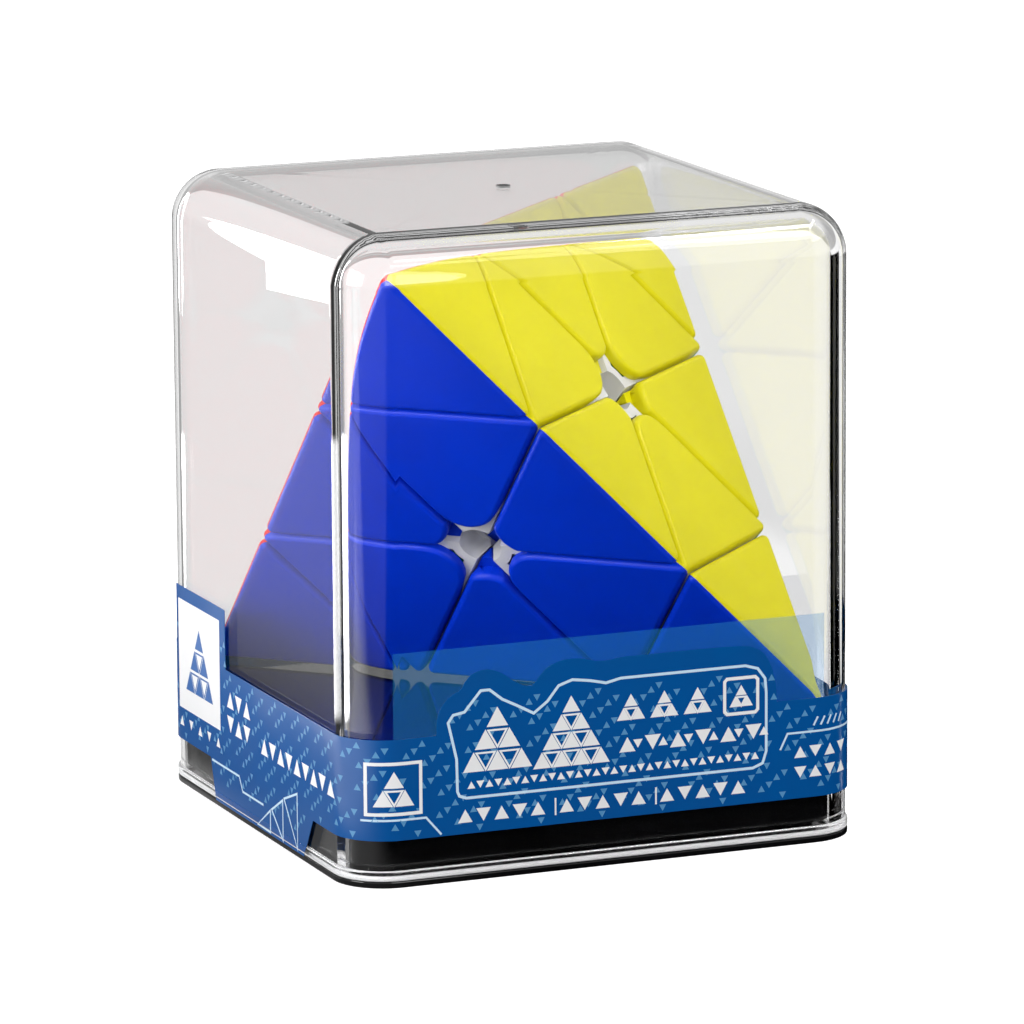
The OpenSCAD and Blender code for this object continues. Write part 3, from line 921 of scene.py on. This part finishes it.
def ink_object(kind, name):
    top = {"print_pale": INK0 + 0.012, "print_line": INK0 + 0.022, "print_white": INK0 + 0.032, "print_over": INK0 + 0.042}[kind]
    flat = bmesh.new()
    for pts in SHAPES[kind]:
        try:
            flat.faces.new([flat.verts.new((p.x, p.y, 0)) for p in pts])
        except ValueError:
            pass
    # cut the shapes into narrow strips where the wall is round
    for q in range(-3, 4):
        s0 = q * (SIDE + ARC) - FLAT + SIDE
        for k in range(13):
            bmesh.ops.bisect_plane(flat, geom=flat.verts[:] + flat.edges[:] + flat.faces[:], dist=1e-5,
                                   plane_co=(s0 + ARC * k / 12, 0, 0), plane_no=(1, 0, 0))
    bm = bmesh.new()
    lo = {v: bm.verts.new(wrap(v.co.x, v.co.y, INK0)) for v in flat.verts}
    hi = {v: bm.verts.new(wrap(v.co.x, v.co.y, top)) for v in flat.verts}
    for f in flat.faces:
        vs = [l.vert for l in f.loops]
        bm.faces.new([hi[v] for v in vs])
        bm.faces.new([lo[v] for v in reversed(vs)])
        for l in f.loops:
            if l.edge.is_boundary:
                a, b = l.vert, l.link_loop_next.vert
                bm.faces.new((lo[a], lo[b], hi[b], hi[a]))
    flat.free()
    o = to_object(bm, name, MAT[kind], at=Vector((0, 0, 0)), angle=30, weighted=False)
    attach(o, "cover")
    return o


ink_object("print_pale", "ink_pattern")
ink_object("print_line", "ink_lines")
ink_object("print_white", "ink_icons")
ink_object("print_over", "ink_over_icons")

# ---------------------------------------------------------------- stage, light and camera
K = 102 / 98
az, el, roll = math.radians(-22.275), math.radians(11.585), math.radians(-0.389)
back = Vector((math.sin(az) * math.cos(el), -math.cos(az) * math.cos(el), math.sin(el)))
right = Vector((math.cos(az), math.sin(az), 0))
up = back.cross(right)
r2 = right * math.cos(roll) + up * math.sin(roll)
u2 = -right * math.sin(roll) + up * math.cos(roll)
target = CEN + (right * -0.883 + up * -8.567) * K
pos = target + back * (1030.03 * K)
cam_d = bpy.data.cameras.new("camera")
cam_d.sensor_width = 36
cam_d.lens = 7029.8 / 1024 * 36
cam_d.clip_start = 0.01
cam_d.clip_end = 50
cam = bpy.data.objects.new("camera", cam_d)
S.collection.objects.link(cam)
rot = Matrix((r2, u2, back)).transposed().to_4x4()
cam.matrix_world = Matrix.Translation(pos * MM) @ rot
S.camera = cam


def floor_mat():
    """White to the eye; what the case mirrors of it is bright at the left and dark at the right."""
    m, nt, b = new_mat("pale_floor")
    n = noise(nt, 3.0, 3.0, 0.5)
    nt.links.new(colour_vary(nt, ramp(nt, n.outputs["Fac"], 0, 1), (0.90, 0.90, 0.90), (0.88, 0.88, 0.88)), b.inputs["Base Color"])
    b.inputs["Roughness"].default_value = 0.9
    b.inputs["Specular IOR Level"].default_value = 0.1
    em = nt.nodes.new("ShaderNodeEmission")
    em.inputs["Strength"].default_value = 0.55
    add = nt.nodes.new("ShaderNodeAddShader")
    nt.links.new(b.outputs["BSDF"], add.inputs[0])
    nt.links.new(em.outputs["Emission"], add.inputs[1])
    geo = nt.nodes.new("ShaderNodeNewGeometry")
    sep = nt.nodes.new("ShaderNodeSeparateXYZ")
    nt.links.new(geo.outputs["Position"], sep.inputs[0])

    def step(out, lo, hi, a, c):
        mr = nt.nodes.new("ShaderNodeMapRange")
        mr.interpolation_type = "SMOOTHSTEP"
        mr.inputs["From Min"].default_value = lo
        mr.inputs["From Max"].default_value = hi
        mr.inputs["To Min"].default_value = a
        mr.inputs["To Max"].default_value = c
        nt.links.new(out, mr.inputs["Value"])
        return mr.outputs["Result"]

    # a dark patch in front of the right half, for the front wall to mirror
    def times(a, b):
        m1 = nt.nodes.new("ShaderNodeMath")
        m1.operation = "MULTIPLY"
        nt.links.new(a, m1.inputs[0])
        nt.links.new(b, m1.inputs[1])
        return m1.outputs[0]

    skew = nt.nodes.new("ShaderNodeMath")
    skew.operation = "MULTIPLY_ADD"
    nt.links.new(sep.outputs["Y"], skew.inputs[0])
    skew.inputs[1].default_value = -1.2
    nt.links.new(sep.outputs["X"], skew.inputs[2])
    ln = nt.nodes.new("ShaderNodeVectorMath")
    ln.operation = "LENGTH"
    nt.links.new(geo.outputs["Position"], ln.inputs[0])
    patch = times(times(step(sep.outputs["X"], -0.08, -0.03, 0, 1), step(skew.outputs[0], 0.0, 0.05, 0, 1)),
                  step(ln.outputs["Value"], 0.62, 0.75, 1, 0))
    mf = nt.nodes.new("ShaderNodeMix")
    nt.links.new(patch, mf.inputs[0])
    near = step(sep.outputs["X"], -0.082, -0.070, 1.0, 0.12)
    nt.links.new(times(step(sep.outputs["Y"], -0.12, -0.07, FLOOR_FL, 2.0), near), mf.inputs[2])
    mf.inputs[3].default_value = FLOOR_FR
    front = mf.outputs[0]
    rear = step(sep.outputs["X"], -0.050, -0.035, 0.0, 1.0)
    mr2 = nt.nodes.new("ShaderNodeMix")
    nt.links.new(rear, mr2.inputs[0])
    nt.links.new(step(sep.outputs["X"], -0.095, -0.060, FLOOR_BL, 0.12), mr2.inputs[2])
    mr2.inputs[3].default_value = 1.0
    rear = mr2.outputs[0]
    far = step(sep.outputs["Y"], 0.0, 0.03, 0.0, 1.0)
    mx = nt.nodes.new("ShaderNodeMix")
    nt.links.new(far, mx.inputs[0])
    nt.links.new(front, mx.inputs[2])
    nt.links.new(rear, mx.inputs[3])
    my = nt.nodes.new("ShaderNodeMix")
    nt.links.new(patch, my.inputs[0])
    nt.links.new(mx.outputs[0], my.inputs[2])
    my.inputs[3].default_value = FLOOR_FR

    # a bright wedge behind the left, that only the rounded upright corner mirrors
    def calc(op, a, b):
        m1 = nt.nodes.new("ShaderNodeMath")
        m1.operation = op
        for k, v in enumerate((a, b)):
            if isinstance(v, float):
                m1.inputs[k].default_value = v
            else:
                nt.links.new(v, m1.inputs[k])
        return m1.outputs[0]

    lp = nt.nodes.new("ShaderNodeLightPath")
    u = calc("SUBTRACT", -0.041, sep.outputs["X"])
    w = calc("ADD", sep.outputs["Y"], 0.034)
    slope = calc("DIVIDE", w, calc("MAXIMUM", u, 0.0005))
    away = calc("SQRT", calc("ADD", calc("MULTIPLY", u, u), calc("MULTIPLY", w, w)), 0.0)
    wedge = times(times(step(slope, 0.62, 0.80, 0, 1), step(slope, 2.36, 2.50, 1, 0)),
                  times(step(away, 0.335, 0.350, 1, 0), step(away, 0.100, 0.112, 0, 1)))
    wedge = times(wedge, step(lp.outputs["Diffuse Depth"], 0.2, 0.8, 1, 0))
    mw = nt.nodes.new("ShaderNodeMix")
    nt.links.new(wedge, mw.inputs[0])
    nt.links.new(my.outputs[0], mw.inputs[2])
    mw.inputs[3].default_value = 9.0
    em2 = nt.nodes.new("ShaderNodeEmission")
    nt.links.new(mw.outputs[0], em2.inputs["Strength"])
    # seen straight or only through the clear case it stays plain white; the zones are for reflections
    tot = nt.nodes.new("ShaderNodeMath")
    nt.links.new(lp.outputs["Glossy Depth"], tot.inputs[0])
    nt.links.new(lp.outputs["Diffuse Depth"], tot.inputs[1])
    gt = nt.nodes.new("ShaderNodeMath")
    gt.operation = "GREATER_THAN"
    nt.links.new(tot.outputs[0], gt.inputs[0])
    gt.inputs[1].default_value = 0.5
    thru = nt.nodes.new("ShaderNodeEmission")
    thru.inputs["Strength"].default_value = 1.0
    mz = nt.nodes.new("ShaderNodeMixShader")
    nt.links.new(gt.outputs[0], mz.inputs["Fac"])
    nt.links.new(thru.outputs["Emission"], mz.inputs[1])
    nt.links.new(em2.outputs["Emission"], mz.inputs[2])
    mix = nt.nodes.new("ShaderNodeMixShader")
    nt.links.new(lp.outputs["Is Camera Ray"], mix.inputs["Fac"])
    nt.links.new(mz.outputs["Shader"], mix.inputs[1])
    nt.links.new(add.outputs["Shader"], mix.inputs[2])
    nt.links.new(mix.outputs["Shader"], nt.nodes["Material Output"].inputs["Surface"])
    return m


FLOOR_FL, FLOOR_FR, FLOOR_BL = 0.25, 0.0, 0.36
fb = bmesh.new()
bmesh.ops.create_grid(fb, x_segments=2, y_segments=2, size=12)
fm = bpy.data.meshes.new("floor")
fb.to_mesh(fm)
fb.free()
fm.materials.append(floor_mat())
floor = bpy.data.objects.new("floor", fm)
S.collection.objects.link(floor)

world = bpy.data.worlds.new("studio")
S.world = world
world.use_nodes = True
wn = world.node_tree
bg = wn.nodes["Background"]
tc = wn.nodes.new("ShaderNodeTexCoord")
sep = wn.nodes.new("ShaderNodeSeparateXYZ")
wn.links.new(tc.outputs["Generated"], sep.inputs[0])


def wstep(out, lo, hi, a, c):
    mr = wn.nodes.new("ShaderNodeMapRange")
    mr.interpolation_type = "SMOOTHSTEP"
    mr.inputs["From Min"].default_value = lo
    mr.inputs["From Max"].default_value = hi
    mr.inputs["To Min"].default_value = a
    mr.inputs["To Max"].default_value = c
    wn.links.new(out, mr.inputs["Value"])
    return mr.outputs["Result"]


low = wstep(sep.outputs["Z"], 0.25, 0.55, 0.45, 0.80)
rear = wstep(sep.outputs["Y"], -0.2, 0.3, 0.0, 1.0)
mx = wn.nodes.new("ShaderNodeMix")
wn.links.new(rear, mx.inputs[0])
mx.inputs[2].default_value = 0.62
wn.links.new(low, mx.inputs[3])
wn.links.new(mx.outputs[0], bg.inputs["Strength"])
bg.inputs["Color"].default_value = (1, 1, 1, 1)


def area(name, loc, look, size, energy, size_y=None):
    d = bpy.data.lights.new(name, "AREA")
    d.shape = "RECTANGLE"
    d.size = size
    d.size_y = size_y or size
    d.energy = energy
    o = bpy.data.objects.new(name, d)
    S.collection.objects.link(o)
    o.location = loc
    o.rotation_euler = (Vector(look) - Vector(loc)).to_track_quat("-Z", "Y").to_euler()
    return o


def card(name, pts, radiance):
    """Flat lamp between three corners: a, b along its width and c along its height."""
    a, b, c = (Vector(p) for p in pts)
    x, y = (b - a), (c - a)
    w, h = x.length, y.length
    x.normalize()
    y = (y - x * x.dot(y)).normalized()
    d = bpy.data.lights.new(name, "AREA")
    d.shape = "RECTANGLE"
    d.size, d.size_y = w, h
    d.energy = radiance * w * h * math.pi
    o = bpy.data.objects.new(name, d)
    S.collection.objects.link(o)
    o.matrix_world = Matrix.Translation(a + x * (w / 2) + y * (h / 2)) @ Matrix((x, y, x.cross(y))).transposed().to_4x4()
    o.visible_camera = False
    return o


area("key_top_right", (0.55, -0.45, 0.75), (0, 0, 0.05), 0.45, 2.2)
area("bar_above", (0.45, -0.21, 0.88), (0, 0, 0.05), 0.36, 1.7, 0.06)
area("front", (0.10, -0.95, 0.42), (0, 0, 0.04), 0.5, 3.0)
area("left", (-0.95, -0.15, 0.38), (0, 0, 0.04), 0.5, 5.6)
# the two bright cards that the left wall mirrors near its top
card("card_low", ((-0.150, 0.288, 0.0305), (-0.150, 0.217, 0.0360), (-0.150, 0.288, 0.1180)), 7.0)
card("card_high", ((-0.150, 0.302, 0.1120), (-0.150, 0.217, 0.1120), (-0.150, 0.302, 0.225)), 7.0)
S.view_settings.view_transform = "Standard"
S.view_settings.look = "None"
S.cycles.max_bounces = 32
S.cycles.transmission_bounces = 28
S.cycles.glossy_bounces = 28
S.cycles.transparent_max_bounces = 16
